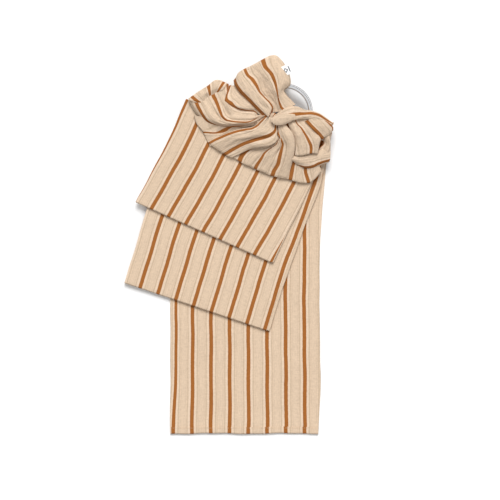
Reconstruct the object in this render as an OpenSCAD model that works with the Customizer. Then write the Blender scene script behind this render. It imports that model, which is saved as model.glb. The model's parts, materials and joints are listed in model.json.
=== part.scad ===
// A ring sling for carrying a baby, folded for storage: a striped cloth folded in three across its width,
// laid in a zigzag of five runs, with its shoulder end gathered through two rings and spread over the stack.
// It lies on its back on a flat surface. +Z is up, +Y points from the tail to the shoulder.

/* [Cloth] */
// Thickness of a run, which is three layers of cloth
run_t = 2.4; // [1.8:0.1:3.2]
// Free height between two runs that move apart
run_gap = 0.3; // [0.3:0.1:0.6]
// Length of the lower fold, where the lower flap turns
lower_edge = 243; // [235:1:250]
// Slope of the lower fold, in degrees
lower_slope = 18.5; // [17:0.5:20]
// Length of the upper fold, where the upper flap turns
upper_edge = 239; // [230:1:245]
// Slope of the upper fold, in degrees
upper_slope = 24; // [23:0.5:25]
// Depth of the turned hem at the tail's end
hem_w = 12; // [8:1:16]
// Thickness of that hem
hem_t = 2.9; // [2.6:0.1:3.6]

/* [Shoulder] */
// Height of the cloth bunched through the rings, above the stack
knot_h = 34; // [32:1:38]
// Radius of that bunch
knot_r = 8; // [6:0.5:8]
// Thickness of the fan where it tucks under, along its rim
fan_rim = 8; // [6:1:10]
// Thickness of the side lobes along their rims
side_rim = 16; // [12:1:20]
// Thickness of the top lobe and of the band of the bow
top_rim = 23.4; // [22:0.2:26]

/* [Rings] */
// Mean radius of a ring
ring_r = 41.25; // [38:0.25:42]
// Radius of a ring's wire
wire_r = 3.25; // [2.75:0.25:3.5]
// Clearance between a ring and the cloth round it
ring_clear = 0.5; // [0.3:0.1:0.8]
// Free height between the two rings
ring_gap = 0.8; // [0.5:0.1:1]

/* [Label] */
// Width of the folded label, out from its sewn edge
label_w = 16; // [12:1:20]
// Length of its sewn edge
label_l = 18; // [14:1:22]
// Thickness of the folded label
label_t = 1.2; // [0.8:0.1:1.6]

/* [Stitching] */
// Length of one stitch
stitch_l = 3; // [2:0.5:4]
// Distance from one stitch to the next
stitch_pitch = 4.2; // [3.5:0.1:6]
// Width of the thread
thread_w = 0.6; // [0.4:0.1:1]
// Height of the thread above the cloth
thread_h = 0.3; // [0.2:0.1:0.5]

/* [Hidden] */

$fn = 64;
far = 500;  // longer than anything here, for half spaces
slack = 0.3;  // free width between two ends that move apart

// Heights of the runs, from the surface that the sling lies on
lower_return_z = run_t;
lower_flap_z = lower_return_z + run_t + run_gap;
upper_return_z = lower_flap_z + run_t;
upper_flap_z = upper_return_z + run_t + run_gap;
shoulder_z = upper_flap_z + run_t;

// A fold's turn is a half round between two runs, about the hinge in the gap between them
turn_r = run_t + run_gap / 2;
lower_hinge_z = lower_flap_z - run_gap / 2;
upper_hinge_z = upper_flap_z - run_gap / 2;

// Points a distance s along a fold of slope a, and a distance s up the run from it
function along(p, a, s) = p + s * [cos(a), -sin(a)];
function up(p, a, s) = p + s * [sin(a), cos(a)];

lower_corner = [-167, -62];
upper_corner = [-149, 67];
lower_hinge = up(lower_corner, lower_slope, turn_r);
upper_hinge = up(upper_corner, upper_slope, turn_r);

// Where the runs meet at the two folds that stay closed, left end then right end
first_fold = [[-72, 205], [158, 163]];
second_fold = [[-68, 232], [152, 141]];

tail_outline = [[-93, -290], [142.5, -290], [145, -240], [145, 0], [151, 90], first_fold[1], first_fold[0],
    [-93, 100]];
hem_outline = [[-93, -302], [142, -300], [142.5, -290], [-93, -290]];

// The two sides of the lower and the upper flap above their folds
lower_left_side = [-135, 44];
lower_right_side = [146, 99];
upper_left_side = [-121, 120];
upper_right_side = [114, 60];

// The shoulder bends off the upper flap along this line
shoulder_bend = [17.5, 127];
shoulder_slope = 26.4;

// The cloth bunches through the rings here, and every lobe starts from it
knot = [62, 202];
tip_share = 0.2;  // how far the full height reaches from the knot towards a lobe's rim

front_ring_centre = [88, 211];
back_ring_centre = [89.5, 212.5];
back_ring_z = shoulder_z + 7.4;
front_ring_z = back_ring_z + 2 * wire_r + ring_gap;

label_corner = [84.5, 265.5];
label_turn = 24;
label_z = shoulder_z + top_rim + slack;

// --- flat runs -------------------------------------------------------------------------------------------

module slab(outline, z, t = run_t) translate([0, 0, z]) linear_extrude(t) polygon(outline);

// An outline that starts a distance s above a fold
function above_fold(hinge, slope, edge, s, rest) =
    concat([up(hinge, slope, s), up(along(hinge, slope, edge), slope, s)], rest);

// The half round of cloth at a fold, on the side away from the runs
module fold_turn(hinge, slope, edge, z)
    translate([hinge[0], hinge[1], z]) rotate([0, 0, -slope])
        intersection() {
            rotate([0, 90, 0]) cylinder(r = turn_r, h = edge);
            translate([-1, -far, -far / 2]) cube([edge + 2, far, far]);
        }

// Everything on the shoulder's side of its bend, moved s away from the line
module beyond_bend(s)
    translate([shoulder_bend[0], shoulder_bend[1], 0]) rotate([0, 0, -shoulder_slope])
        translate([-far / 2, s, 0]) cube([far, far, far]);

module tail_run() color([0.90, 0.81, 0.70]) slab(tail_outline, 0);

module tail_end_hem() color([0.91, 0.83, 0.73]) slab(hem_outline, 0, hem_t);

module tail_hem_stitching()
    color([0.86, 0.76, 0.65])
        for (x = [-91 : stitch_pitch : 138])
            translate([x, -293.5 - thread_w / 2, hem_t]) cube([stitch_l, thread_w, thread_h]);

module lower_return_run()
    color([0.89, 0.80, 0.69])
        slab(above_fold(lower_hinge, lower_slope, lower_edge, 0,
            [lower_right_side, first_fold[1], first_fold[0], lower_left_side]), lower_return_z);

module lower_fold_turn()
    color([0.88, 0.79, 0.68]) fold_turn(lower_hinge, lower_slope, lower_edge, lower_hinge_z);

module lower_flap_run()
    color([0.90, 0.81, 0.70])
        slab(above_fold(lower_hinge, lower_slope, lower_edge, turn_r + slack,
            [lower_right_side, second_fold[1], second_fold[0], lower_left_side]), lower_flap_z);

module upper_return_run()
    color([0.89, 0.80, 0.69])
        slab(above_fold(upper_hinge, upper_slope, upper_edge, 0,
            [upper_right_side, second_fold[1], second_fold[0], upper_left_side]), upper_return_z);

module upper_fold_turn()
    color([0.88, 0.79, 0.68]) fold_turn(upper_hinge, upper_slope, upper_edge, upper_hinge_z);

module upper_run(z)
    slab(above_fold(upper_hinge, upper_slope, upper_edge, turn_r + slack,
        [upper_right_side, second_fold[1], second_fold[0], upper_left_side]), z);

module upper_flap_run()
    color([0.91, 0.82, 0.71]) difference() {
        upper_run(upper_flap_z);
        beyond_bend(-slack);
    }

module shoulder_base()
    color([0.90, 0.81, 0.70]) intersection() {
        upper_run(upper_flap_z);
        beyond_bend(slack);
    }

// --- gathered shoulder -----------------------------------------------------------------------------------

function mix(a, b, t) = a + t * (b - a);

module ring_channel(centre, z)
    translate([centre[0], centre[1], z]) rotate_extrude()
        translate([ring_r, 0]) square(2 * (wire_r + ring_clear), center = true);

module ring_room() {
    ring_channel(front_ring_centre, front_ring_z);
    ring_channel(back_ring_centre, back_ring_z);
    translate([knot[0], knot[1], 0]) cylinder(r = knot_r, h = far);
}

// A lobe of cloth from the knot out to its rim, full height at the knot and rim_t thick at the rim
module lobe(rim, rim_t)
    difference() {
        translate([0, 0, shoulder_z]) hull() {
            linear_extrude(rim_t) polygon(concat([knot], rim));
            linear_extrude(knot_h)
                polygon([knot, mix(knot, rim[0], tip_share), mix(knot, rim[len(rim) - 1], tip_share)]);
        }
        ring_room();
    }

module ring_knot()
    color([0.85, 0.75, 0.64])
        translate([knot[0], knot[1], shoulder_z]) cylinder(r = knot_r, h = knot_h);

module top_lobe()
    color([0.91, 0.82, 0.71]) difference() {
        slab([knot, [98, 256], [86, 290], [76, 300.5], [68, 302], [51, 295], [27, 281], [14, 269], [9, 261]],
            shoulder_z, top_rim);
        ring_room();
    }

module corner_fold() color([0.88, 0.78, 0.67]) lobe([[94, 236], [106, 223]], side_rim);

module left_upper_lobe()
    color([0.90, 0.81, 0.70]) lobe([[5, 254], [-10, 260], [-18, 263], [-32, 256], [-64, 234]], side_rim);

module left_lower_lobe() color([0.89, 0.80, 0.69]) lobe([[-64, 234], [-55, 191], [-50, 186]], side_rim);

module left_fan() color([0.91, 0.82, 0.71]) lobe([[-50, 186], [-32, 161], [-9, 145], [17, 130.5]], fan_rim);

module middle_fan() color([0.90, 0.81, 0.70]) lobe([[17, 130.5], [44, 120], [68, 109], [100, 101.5]], fan_rim);

module right_fan() color([0.91, 0.82, 0.71]) lobe([[100, 101.5], [127, 98], [145, 115], [161, 134]], fan_rim);

module right_lower_fold() color([0.89, 0.80, 0.69]) lobe([[161, 134], [162, 156], [150, 164]], side_rim);

module right_bow()
    color([0.91, 0.82, 0.71]) difference() {
        slab([knot, [150, 164], [168, 191], [132, 212], [106, 220]], shoulder_z, top_rim);
        ring_room();
    }

module shoulder_seam_stitching()
    color([0.86, 0.76, 0.65])
        for (a = [63 : 7 : 126])
            translate([knot[0], knot[1], shoulder_z + top_rim]) rotate([0, 0, a])
                translate([36 - thread_w / 2, -stitch_l / 2, 0]) cube([thread_w, stitch_l, thread_h]);

// --- rings and label -------------------------------------------------------------------------------------

module ring(centre, z)
    translate([centre[0], centre[1], z]) rotate_extrude() translate([ring_r, 0]) circle(r = wire_r);

module front_ring() color([0.84, 0.84, 0.85]) ring(front_ring_centre, front_ring_z);

module back_ring() color([0.80, 0.80, 0.81]) ring(back_ring_centre, back_ring_z);

module on_label(z) translate([label_corner[0], label_corner[1], z]) rotate([0, 0, label_turn]) children();

module maker_label() color([0.96, 0.96, 0.95]) on_label(label_z) cube([label_w, label_l, label_t]);

module label_stitching()
    color([0.93, 0.92, 0.90]) on_label(label_z + label_t)
        for (y = [2 : stitch_pitch - 0.4 : label_l - 3])
            translate([1.2, y, 0]) cube([thread_w, stitch_l - 0.6, thread_h]);

tail_run();
tail_end_hem();
tail_hem_stitching();
lower_return_run();
lower_fold_turn();
lower_flap_run();
upper_return_run();
upper_fold_turn();
upper_flap_run();
shoulder_base();
ring_knot();
top_lobe();
corner_fold();
left_upper_lobe();
left_lower_lobe();
left_fan();
middle_fan();
right_fan();
right_lower_fold();
right_bow();
shoulder_seam_stitching();
front_ring();
back_ring();
maker_label();
label_stitching();
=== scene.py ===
"""A folded ring sling: a striped cloth in a zigzag of five runs, its shoulder gathered through two rings."""

import json
import math

import bpy
import numpy as np
from bpy.props import FloatProperty, FloatVectorProperty
from bpy.types import Operator, Panel, PropertyGroup
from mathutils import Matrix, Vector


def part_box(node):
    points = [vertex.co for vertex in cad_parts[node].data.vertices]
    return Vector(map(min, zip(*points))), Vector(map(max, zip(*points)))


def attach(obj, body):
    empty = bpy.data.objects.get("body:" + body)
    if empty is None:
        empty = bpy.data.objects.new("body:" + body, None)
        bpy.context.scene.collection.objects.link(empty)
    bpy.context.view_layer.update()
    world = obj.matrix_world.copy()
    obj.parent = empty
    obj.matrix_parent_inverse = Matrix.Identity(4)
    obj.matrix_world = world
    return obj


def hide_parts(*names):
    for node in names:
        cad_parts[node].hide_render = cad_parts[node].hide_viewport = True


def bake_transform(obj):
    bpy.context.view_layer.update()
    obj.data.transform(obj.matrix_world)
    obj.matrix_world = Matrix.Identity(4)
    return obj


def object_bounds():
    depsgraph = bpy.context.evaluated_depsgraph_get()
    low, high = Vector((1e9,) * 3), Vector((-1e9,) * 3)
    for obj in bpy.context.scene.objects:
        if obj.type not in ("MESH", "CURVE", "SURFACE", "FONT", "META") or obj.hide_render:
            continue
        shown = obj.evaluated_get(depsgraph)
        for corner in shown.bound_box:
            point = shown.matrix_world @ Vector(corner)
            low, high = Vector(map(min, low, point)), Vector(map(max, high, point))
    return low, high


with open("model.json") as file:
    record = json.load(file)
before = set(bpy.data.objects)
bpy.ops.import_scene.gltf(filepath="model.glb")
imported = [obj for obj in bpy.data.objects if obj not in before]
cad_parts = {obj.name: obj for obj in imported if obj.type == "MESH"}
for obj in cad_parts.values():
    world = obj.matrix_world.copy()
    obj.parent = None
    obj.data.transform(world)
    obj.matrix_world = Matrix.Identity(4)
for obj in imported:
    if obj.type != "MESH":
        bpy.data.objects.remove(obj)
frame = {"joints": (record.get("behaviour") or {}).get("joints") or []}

bl_info = {
    "name": "Folded ring sling",
    "version": (1, 0, 0),
    "blender": (4, 5, 0),
    "location": "View3D > Sidebar > Sling",
    "description": "Builds the cloth, rings, label and stitching of a folded ring sling",
    "category": "Object",
}

CAD_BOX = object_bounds()
MM = 0.001


# --- sizes and colours that a user would change ----------------------------------------------------------


class SlingCloth(PropertyGroup):
    """Sizes and colours of the cloth"""

    stripe_pitch: FloatProperty(
        name="Stripe pitch", description="Distance from one rust stripe to the next", default=0.030,
        unit="LENGTH", subtype="DISTANCE")
    stripe_width: FloatProperty(
        name="Stripe width", description="Width of a rust stripe", default=0.0059,
        unit="LENGTH", subtype="DISTANCE")
    thickness: FloatProperty(
        name="Thickness", description="Thickness of one layer of cloth", default=0.0007,
        unit="LENGTH", subtype="DISTANCE")
    thread_pitch: FloatProperty(
        name="Thread pitch", description="Distance between two threads of the weave", default=0.0008,
        unit="LENGTH", subtype="DISTANCE")
    cream: FloatVectorProperty(
        name="Cream", description="Colour of the plain cloth", default=(0.640, 0.490, 0.355),
        subtype="COLOR", min=0.0, max=1.0)
    rust: FloatVectorProperty(
        name="Rust", description="Colour of the stripes", default=(0.325, 0.116, 0.027),
        subtype="COLOR", min=0.0, max=1.0)
    pale: FloatVectorProperty(
        name="Pale", description="Colour of the bands beside each stripe", default=(0.690, 0.537, 0.402),
        subtype="COLOR", min=0.0, max=1.0)
    line: FloatVectorProperty(
        name="Line", description="Colour of the thin lines beside the pale bands",
        default=(0.535, 0.402, 0.283),
        subtype="COLOR", min=0.0, max=1.0)


class SlingMetal(PropertyGroup):
    """Finish of the rings and the label"""

    ring: FloatVectorProperty(
        name="Ring", description="Colour of the rings' metal", default=(0.97, 0.97, 0.98),
        subtype="COLOR", min=0.0, max=1.0)
    ring_gloss: FloatProperty(
        name="Ring roughness", description="Roughness of the rings' satin finish", default=0.09,
        min=0.0, max=1.0, subtype="FACTOR")
    tape: FloatVectorProperty(
        name="Label tape", description="Colour of the label's tape", default=(0.90, 0.90, 0.89),
        subtype="COLOR", min=0.0, max=1.0)
    mark: FloatVectorProperty(
        name="Label mark", description="Colour of the woven mark", default=(0.10, 0.10, 0.12),
        subtype="COLOR", min=0.0, max=1.0)


class SlingStage(PropertyGroup):
    """Light and camera"""

    key_power: FloatProperty(
        name="Key light", description="Strength of the soft light from beyond the shoulder",
        default=3.0, min=0.0)
    fill: FloatProperty(
        name="Fill", description="Strength of the light from all round", default=0.52, min=0.0)
    camera_height: FloatProperty(
        name="Camera height", description="Height of the camera above the floor", default=6.0,
        unit="LENGTH", subtype="DISTANCE")
    view_width: FloatProperty(
        name="View width", description="Width of floor that the camera sees", default=0.80,
        unit="LENGTH", subtype="DISTANCE")


# --- smooth curves and cloth meshes ----------------------------------------------------------------------


def through(knots, values, where):
    """A smooth curve that passes through values at knots, read at where."""
    knots, values, where = (np.asarray(x, float) for x in (knots, values, where))
    flat = (-1,) + (1,) * (values.ndim - 1)
    gaps = np.diff(knots).reshape(flat)
    if len(knots) == 2:
        knots = np.array([knots[0], knots.mean(), knots[1]])
        values = np.array([values[0], (values[0] + values[1]) / 2, values[1]])
        gaps = np.diff(knots).reshape(flat)
    slopes = np.diff(values, axis=0) / gaps
    inner = (slopes[:-1] * gaps[1:] + slopes[1:] * gaps[:-1]) / (gaps[1:] + gaps[:-1])
    tangents = np.concatenate([slopes[:1], inner, slopes[-1:]])
    i = np.clip(np.searchsorted(knots, where, side="right") - 1, 0, len(knots) - 2)
    gap = gaps[i]
    t = ((where - knots[i]).reshape(flat)) / gap
    before = (1 + 2 * t) * (1 - t) ** 2 * values[i] + t * (1 - t) ** 2 * gap * tangents[i]
    after = t * t * (3 - 2 * t) * values[i + 1] - t * t * (1 - t) * gap * tangents[i + 1]
    return before + after


def even_path(points, count):
    """count points, evenly spaced along a smooth curve through the given ones."""
    points = np.asarray(points, float)
    along = np.concatenate([[0], np.cumsum(np.linalg.norm(np.diff(points, axis=0), axis=1))])
    dense = through(along, points, np.linspace(0, along[-1], 24 * len(points)))
    length = np.concatenate([[0], np.cumsum(np.linalg.norm(np.diff(dense, axis=0), axis=1))])
    even = np.linspace(0, length[-1], count)
    return np.stack([np.interp(even, length, dense[:, k]) for k in range(points.shape[1])], axis=1)


def cloth_piece(name, grid, across, along, thickness=None):
    """A sheet of cloth from a grid of points in millimetres, with its width and length as UVs in metres."""
    rows, columns = grid.shape[:2]
    mesh = bpy.data.meshes.new(name)
    index = np.arange(rows * columns).reshape(rows, columns)
    corners = np.stack([index[:-1, :-1], index[:-1, 1:], index[1:, 1:], index[1:, :-1]], axis=-1)
    corners = corners.reshape(-1, 4)
    mesh.from_pydata((grid.reshape(-1, 3) * MM).tolist(), [], corners.tolist())
    uv = np.stack([across, along], axis=-1).reshape(-1, 2) * MM
    layer = mesh.uv_layers.new(name="UVMap")
    layer.data.foreach_set("uv", uv[corners.ravel()].astype(np.float32).ravel())
    mesh.shade_smooth()
    piece = bpy.data.objects.new(name, mesh)
    bpy.context.scene.collection.objects.link(piece)
    if thickness is None:
        thickness = bpy.context.scene.sling_cloth.thickness
    solid = piece.modifiers.new("thickness", "SOLIDIFY")
    solid.thickness = thickness
    solid.offset = 0
    apply_modifiers(piece)
    bpy.ops.object.shade_smooth_by_angle(angle=math.radians(50))
    return piece


def select_only(*pieces):
    """Deselects everything and selects these pieces, the last one active."""
    bpy.ops.object.select_all(action="DESELECT")
    for piece in pieces:
        piece.select_set(True)
    bpy.context.view_layer.objects.active = pieces[-1]


def apply_modifiers(piece):
    select_only(piece)
    for modifier in list(piece.modifiers):
        bpy.ops.object.modifier_apply(modifier=modifier.name)


def arc_length(grid, axis):
    """Distance along a grid of points, from its first row or column."""
    steps = np.linalg.norm(np.diff(grid, axis=axis), axis=2)
    start = np.zeros_like(np.take(steps, [0], axis=axis))
    return np.concatenate([start, np.cumsum(steps, axis=axis)], axis=axis)


def ripple(x, y):
    """The slight rise and fall of cloth that lies loosely, in millimetres."""
    slow = np.sin(x / 31 + 1.3 * np.sin(y / 57)) * np.sin(y / 43 + 0.7 * np.sin(x / 71) + 1)
    quick = np.sin(x / 11 + y / 29 + 2) * np.sin(y / 17 - x / 47)
    return 0.5 * (1 + slow) + 0.17 * (1 + quick)


# --- the runs --------------------------------------------------------------------------------------------


def joint(name):
    return next(j for j in frame["joints"] if j["name"] == name)


def hinge(name):
    """A fold's left end, its direction from left to right and its height, in millimetres."""
    place = np.array(joint(name)["pos_m"]) / MM
    return place[:2], np.array(joint(name)["axis"][:2]), place[2]


def middle_height(node):
    low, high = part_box(node)
    return (low.z + high.z) / 2 / MM


LAYER_STEP = 0.8
LAYER_WIDTH = 238
RUN_THICKNESS = 2.4
LOWER_FOLD, LOWER_WAY, LOWER_HEIGHT = hinge("lower_flap_open")
UPPER_FOLD, UPPER_WAY, UPPER_HEIGHT = hinge("upper_flap_open")
SHOULDER_BEND, SHOULDER_WAY, SHOULDER_HEIGHT = hinge("shoulder_lift")
LOWER_EDGE, UPPER_EDGE = 243, 239
# where the cloth's stripes start from each fold's left end
LOWER_SHIFT, UPPER_SHIFT, FIRST_SHIFT, SECOND_SHIFT = 34.5, 33.2, 25, 33
TAIL_END = -302
FIRST_FOLD = ((-72, 205), (158, 163))
SECOND_FOLD = ((-68, 232), (152, 141))


def fold_end(corner, way, edge):
    return tuple(corner + way * edge)


TAIL_SIDES = (
    [(-93, -302), (-94, -230), (-93.5, -120), (-93, 0), (-91, 100), FIRST_FOLD[0]],
    [(141.5, -302), (143.5, -260), (144.5, -120), (144.5, 0), (151, 90), FIRST_FOLD[1]],
)
LOWER_SIDES = (
    [tuple(LOWER_FOLD), (-150, -8), (-135, 44), (-106, 122)],
    [fold_end(LOWER_FOLD, LOWER_WAY, LOWER_EDGE), (92, -50), (123, 38), (146, 99)],
)
UPPER_SIDES = (
    [tuple(UPPER_FOLD), (-121, 120), (-91, 178)],
    [fold_end(UPPER_FOLD, UPPER_WAY, UPPER_EDGE), (93, 22), (114, 62), (130, 96)],
)


def folded_section(fine=4.0, coarse=9.0, short=3.5):
    """The run's cross-section: the cloth in three layers, from the top one's free right edge.

    Columns are (place across, height above the middle, width along the cloth)."""
    turn = [math.radians(a) for a in (30, 60, 90, 120, 150)]
    half = LAYER_STEP / 2
    top = np.linspace(LAYER_WIDTH - short, 0, int(LAYER_WIDTH / fine))
    middle = np.linspace(0, LAYER_WIDTH, int(LAYER_WIDTH / coarse))
    bottom = np.linspace(LAYER_WIDTH, short, int(LAYER_WIDTH / coarse))
    columns = [(x, LAYER_STEP, x) for x in top]
    columns += [(-half * math.sin(a), half + half * math.cos(a), -half * a) for a in turn]
    columns += [(x, 0, -0.95 * x - 1) for x in middle]
    far = 0.95 * LAYER_WIDTH
    columns += [(LAYER_WIDTH + half * math.sin(a), -half + half * math.cos(a), -far - 1 - half * a)
                for a in turn]
    columns += [(x, -LAYER_STEP, x - LAYER_WIDTH - far - 2) for x in bottom]
    return np.array(columns)


def run_rows(sides, top, middle, flip, rows, shift, short=3.5, creep=0.0):
    """Points of one run from its lower end to its upper one, with each point's place across the cloth.

    short is how far the top layer stops before the right edge, creep how far it rolls round the left one."""
    left = even_path(sides[0] + ([top[0]] if top else []), rows)
    right = even_path(sides[1] + ([top[1]] if top else []), rows)
    section = folded_section(short=short)
    share = section[:, 0] / LAYER_WIDTH
    flat = left[:, None] + (right - left)[:, None] * share[None, :, None]
    height = np.broadcast_to(middle + flip * section[:, 1], flat.shape[:2])
    wide = np.linalg.norm(right - left, axis=1)[:, None]
    across = section[:, 2][None, :] * wide / LAYER_WIDTH + np.linspace(*shift, rows)[:, None]
    rolled = creep * np.clip((left[:, 1:] - TAIL_END) / 110, 0, 1) * np.exp(-share * wide / 14)
    return np.dstack([flat, height]), across - rolled * (section[:, 1] > 0)


def turn_rows(ends, outward, height, flip, shift, steps=8, proud=0.0, short=3.5):
    """Points of the turn at a fold, from the run below to the run above, standing proud by a little."""
    section = folded_section(short=short)
    left, right = np.asarray(ends[0], float), np.asarray(ends[1], float)
    radius = RUN_THICKNESS / 2 + 0.15 * (outward[1] < 0) - flip * section[:, 1] + proud
    line = left + (right - left) * (section[:, :1] / LAYER_WIDTH)
    rows = []
    for angle in np.linspace(0, math.pi, steps + 1):
        flat = line + np.asarray(outward) * (radius * math.sin(angle))[:, None]
        rows.append(np.column_stack([flat, height - radius * math.cos(angle)]))
    wide = np.linalg.norm(right - left)
    across = np.broadcast_to(section[:, 2] * wide / LAYER_WIDTH + shift, (steps + 1, len(section)))
    return np.array(rows), across


def fold_lip(corner, way, edge, height, shift, short, below=False):
    """The start of the turn at a fold that opens, on the run above it, or the end of the run below."""
    ends = (tuple(corner), fold_end(corner, way, edge))
    grid, across = turn_rows(ends, (way[1], -way[0]), height, -1, shift, steps=12, proud=0.06, short=short)
    return (grid[:3], across[:3]) if below else (grid[-3:], across[-3:])


def raised_end(part):
    """Lifts the run's first rows, so that the hem fits under them."""
    grid, across = part[0].copy(), part[1]
    share = np.clip((-265 - grid[..., 1]) / 27, 0, 1)
    grid[..., 2] += 0.55 * share * share * (3 - 2 * share)
    return grid, across


def joined(*parts):
    """Puts runs and turns end to end, without the rows that they share."""
    grids = [parts[0][0]] + [grid[1:] for grid, _ in parts[1:]]
    widths = [parts[0][1]] + [width[1:] for _, width in parts[1:]]
    return np.concatenate(grids), np.concatenate(widths)


def backwards(part):
    return part[0][::-1], part[1][::-1]


def rippled(grid):
    """Cloth that lies loosely: it rises and falls a little, and its edges wander away from the folds."""
    x, y = grid[..., 0], grid[..., 1]
    near = np.full(x.shape, 40.0)
    for corner, way in ((LOWER_FOLD, LOWER_WAY), (UPPER_FOLD, UPPER_WAY), (SHOULDER_BEND, SHOULDER_WAY)):
        near = np.minimum(near, np.abs((x - corner[0]) * way[1] - (y - corner[1]) * way[0]))
    loose = np.clip((near - 8) / 30, 0, 1)
    grid = grid.copy()
    grid[..., 2] += ripple(x, y)
    grid[..., 0] += loose * (0.9 * np.sin(y / 46 + 0.5 * np.sin(x / 60)) + 0.35 * np.sin(y / 15 + x / 40))
    grid[..., 1] += loose * (0.6 * np.sin(x / 17 + y / 90) + 0.3 * np.sin(x / 6.5 + 2))
    return grid


def run_piece(name, parts, start=0.0):
    grid, across = joined(*parts)
    grid = rippled(grid)
    middle = grid.shape[1] // 4
    along = np.broadcast_to(arc_length(grid[:, [middle]], 0) + start, grid.shape[:2])
    return cloth_piece(name, grid, across, along)


def outward_of(ends):
    """The level direction across a fold that stays closed, away from its runs."""
    way = np.subtract(ends[1], ends[0])
    way = way / np.linalg.norm(way)
    return (-way[1], way[0])


# --- materials -------------------------------------------------------------------------------------------


class Graph:
    """A small helper that adds and joins shader nodes."""

    def __init__(self, tree):
        self.tree = tree

    def add(self, kind, **settings):
        node = self.tree.nodes.new(kind)
        for name, value in settings.items():
            setattr(node, name, value)
        return node

    def feed(self, socket, value):
        if isinstance(value, bpy.types.NodeSocket):
            self.tree.links.new(value, socket)
        elif value is not None:
            socket.default_value = value

    def math(self, operation, a, b=None, c=None):
        node = self.add("ShaderNodeMath", operation=operation)
        for socket, value in zip(node.inputs, (a, b, c)):
            self.feed(socket, value)
        return node.outputs[0]

    def step(self, value, low, high, start=0.0, end=1.0):
        """A soft step from start to end as value goes from low to high."""
        node = self.add("ShaderNodeMapRange", interpolation_type="SMOOTHSTEP")
        for name, given in (("Value", value), ("From Min", low), ("From Max", high), ("To Min", start),
                            ("To Max", end)):
            self.feed(node.inputs[name], given)
        return node.outputs["Result"]

    def mix(self, share, a, b, blend="MIX"):
        node = self.add("ShaderNodeMix", data_type="RGBA", blend_type=blend)
        self.feed(node.inputs[0], share)
        self.feed(node.inputs[6], a)
        self.feed(node.inputs[7], b)
        return node.outputs[2]

    def scaled(self, vector, scale):
        node = self.add("ShaderNodeVectorMath", operation="MULTIPLY")
        self.feed(node.inputs[0], vector)
        node.inputs[1].default_value = scale
        return node.outputs[0]

    def noise(self, vector, scale, detail=2.0):
        node = self.add("ShaderNodeTexNoise")
        self.feed(node.inputs["Vector"], vector)
        node.inputs["Scale"].default_value = scale
        node.inputs["Detail"].default_value = detail
        return node.outputs["Fac"]

    def apart(self, vector):
        """The parts of a vector."""
        node = self.add("ShaderNodeSeparateXYZ")
        self.feed(node.inputs[0], vector)
        return node.outputs

    def colour(self, *levels):
        node = self.add("ShaderNodeCombineColor")
        for socket, level in zip(node.inputs, levels):
            self.feed(socket, level)
        return node.outputs[0]

    def group(self, tree, vector):
        node = self.add("ShaderNodeGroup", node_tree=tree)
        self.feed(node.inputs["Vector"], vector)
        return node

    def bump(self, height, strength, distance):
        node = self.add("ShaderNodeBump")
        node.inputs["Strength"].default_value = strength
        node.inputs["Distance"].default_value = distance
        self.feed(node.inputs["Height"], height)
        return node


def new_material(name):
    """An empty material, its graph and its shader."""
    material = bpy.data.materials.new(name)
    material.use_nodes = True
    return material, Graph(material.node_tree), material.node_tree.nodes["Principled BSDF"]


def node_group(name, inputs, outputs):
    """An empty shader group with these sockets, each a (name, kind, default)."""
    tree = bpy.data.node_groups.new(name, "ShaderNodeTree")
    for label, kind, value in inputs:
        socket = tree.interface.new_socket(label, in_out="INPUT", socket_type=kind)
        if value is not None:
            socket.default_value = value
    for label, kind in outputs:
        tree.interface.new_socket(label, in_out="OUTPUT", socket_type=kind)
    graph = Graph(tree)
    return tree, graph, graph.add("NodeGroupInput").outputs, graph.add("NodeGroupOutput").inputs


def weave_group():
    """Plain weave with uneven threads: a height, and how light or dark each thread is."""
    if "Weave" in bpy.data.node_groups:
        return bpy.data.node_groups["Weave"]
    tree, graph, given, out = node_group(
        "Weave",
        [("Vector", "NodeSocketVector", None), ("Thread Pitch", "NodeSocketFloat", 0.0008)],
        [("Height", "NodeSocketFloat"), ("Shade", "NodeSocketFloat")])
    place = graph.apart(given["Vector"])
    turns = graph.math("DIVIDE", math.pi, given["Thread Pitch"])
    warp = graph.math("SINE", graph.math("MULTIPLY", place["X"], turns))
    weft = graph.math("SINE", graph.math("MULTIPLY", place["Y"], turns))
    over = graph.math("MULTIPLY", warp, weft)
    warp_slubs = graph.noise(graph.scaled(given["Vector"], (1, 0.05, 1)), 900, 3)
    weft_slubs = graph.noise(graph.scaled(given["Vector"], (0.10, 1, 1)), 900, 3)
    slubs = graph.math("ADD", warp_slubs, weft_slubs)
    patches = graph.noise(given["Vector"], 60, 3)
    specks = graph.noise(graph.scaled(given["Vector"], (1, 0.45, 1)), 520, 4)
    graph.feed(out["Height"], graph.math("MULTIPLY_ADD", slubs, 0.9, graph.math("MULTIPLY", over, 0.35)))
    shade = graph.math("MULTIPLY_ADD", graph.math("SUBTRACT", slubs, 1.0), 0.30, 1.0)
    shade = graph.math("MULTIPLY_ADD", graph.math("SUBTRACT", specks, 0.5), 0.34, shade)
    soft = graph.math("MULTIPLY_ADD", graph.math("SUBTRACT", patches, 0.5), 0.08, shade)
    graph.feed(out["Shade"], soft)
    return tree


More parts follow.
